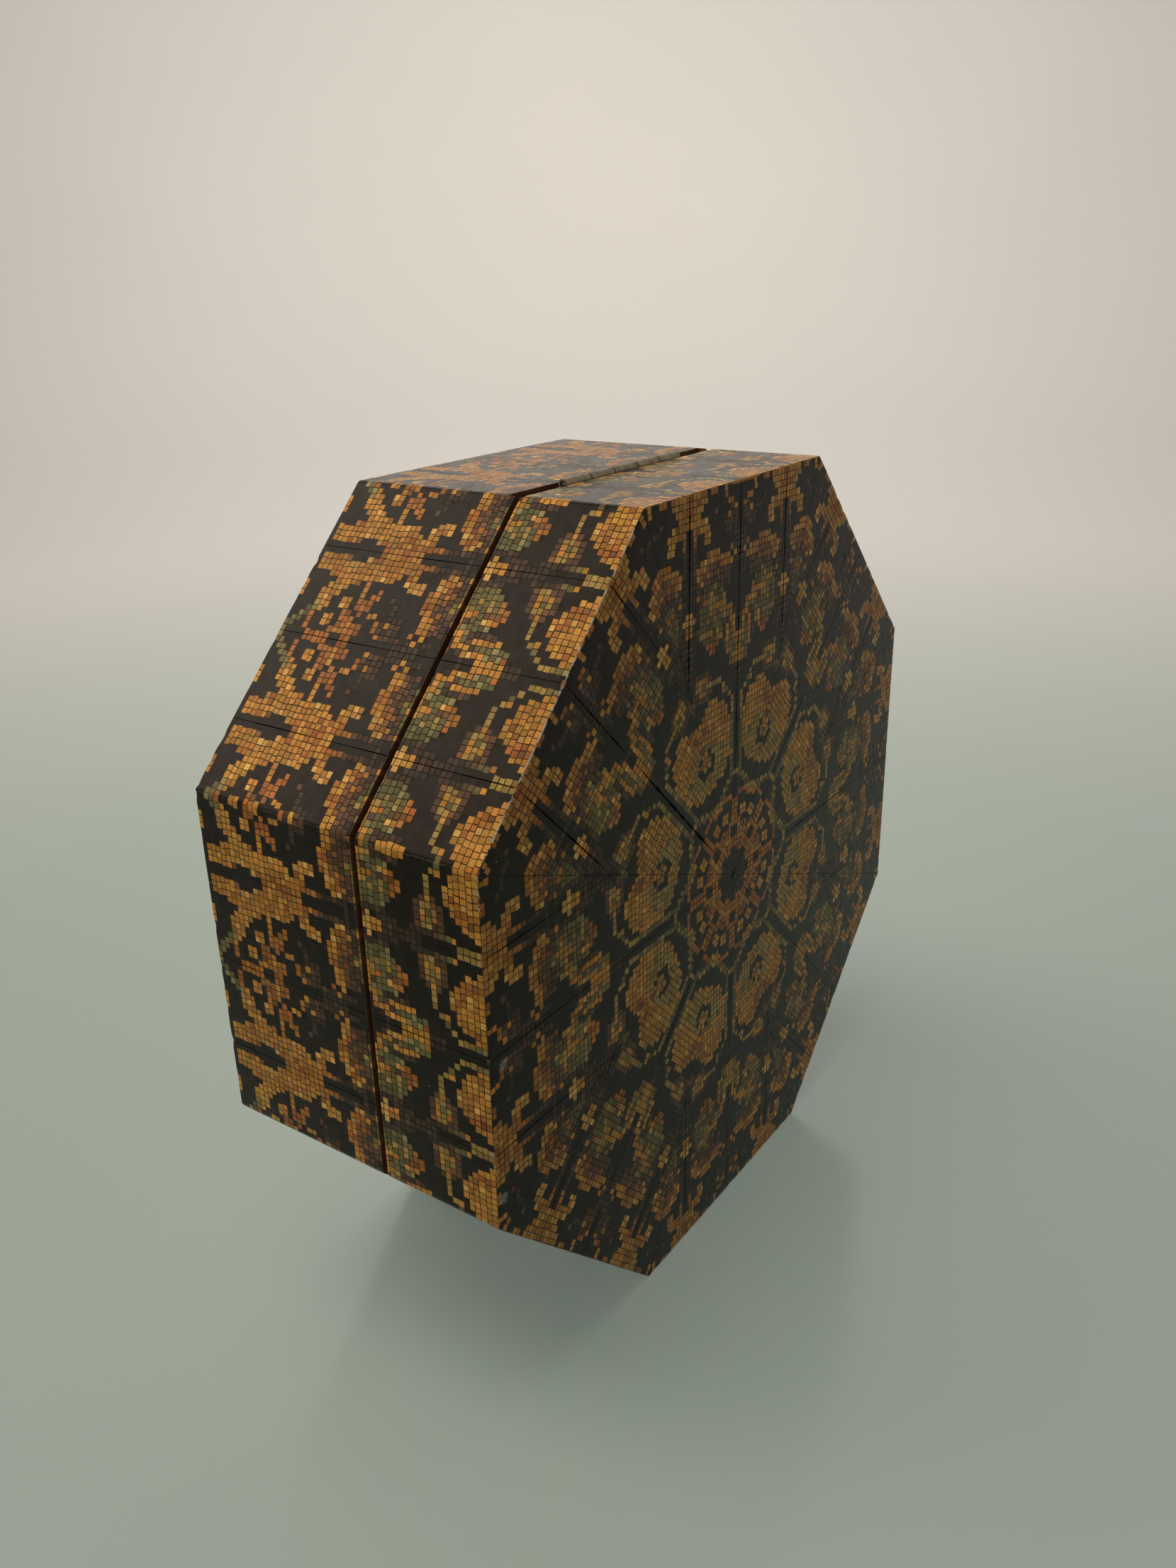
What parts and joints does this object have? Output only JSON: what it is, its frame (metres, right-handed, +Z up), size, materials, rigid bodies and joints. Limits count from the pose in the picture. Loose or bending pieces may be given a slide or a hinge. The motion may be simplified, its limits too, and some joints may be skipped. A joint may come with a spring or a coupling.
{
  "type": "octagonal tunbridge ware box",
  "caption": "Octagonal hinged wooden box faced in tessellated wood mosaic, standing on one side, hollow, its lid hung from a butt hinge in the top facet.",
  "frame": {"origin": "middle of the side facet that the box stands on, half way between the lid's face and the back", "axes": "+Z up, the octagon of the lid faces -Y, the plain back faces +Y, +X to the right seen from the lid's side"},
  "size_m": [0.127, 0.0508, 0.1278],
  "materials": {
    "side_mosaic": "varnished end-grain mosaic of small square tesserae: ebony ground with ochre, orange, brown and sage woods",
    "lid_face_mosaic": "varnished end-grain mosaic in eight mitred panels, satin, with fine scratches",
    "carcase_wood": "stained and polished warm dark-brown hardwood",
    "hinge_brass": "dull, tarnished brass"
  },
  "bodies": {
    "base": {"base_carcase": "carcase_wood", "base_mosaic_right": "side_mosaic", "base_mosaic_top_right": "side_mosaic", "base_mosaic_top": "side_mosaic", "base_mosaic_top_left": "side_mosaic", "base_mosaic_left": "side_mosaic", "base_mosaic_bottom_left": "side_mosaic", "base_mosaic_bottom": "side_mosaic", "base_mosaic_bottom_right": "side_mosaic", "hinge_leaf_base": "hinge_brass", "hinge_pin": "hinge_brass", "hinge_screw_base_1": "hinge_brass", "hinge_screw_base_2": "hinge_brass", "hinge_screw_base_3": "hinge_brass"},
    "lid": {"lid_carcase": "carcase_wood", "lid_mosaic_right": "side_mosaic", "lid_mosaic_top_right": "side_mosaic", "lid_mosaic_top": "side_mosaic", "lid_mosaic_top_left": "side_mosaic", "lid_mosaic_left": "side_mosaic", "lid_mosaic_bottom_left": "side_mosaic", "lid_mosaic_bottom": "side_mosaic", "lid_mosaic_bottom_right": "side_mosaic", "lid_face_right": "lid_face_mosaic", "lid_face_top_right": "lid_face_mosaic", "lid_face_top": "lid_face_mosaic", "lid_face_top_left": "lid_face_mosaic", "lid_face_left": "lid_face_mosaic", "lid_face_bottom_left": "lid_face_mosaic", "lid_face_bottom": "lid_face_mosaic", "lid_face_bottom_right": "lid_face_mosaic", "hinge_leaf_lid": "hinge_brass", "hinge_screw_lid_1": "hinge_brass", "hinge_screw_lid_2": "hinge_brass", "hinge_screw_lid_3": "hinge_brass"}
  },
  "joints": [
    {"name": "lid_hinge", "type": "hinge", "parent": "base", "child": "lid", "pos_m": [0, -0.00485, 0.127], "axis": [-1, 0, 0], "range_deg": [0, 110]}
  ]
}
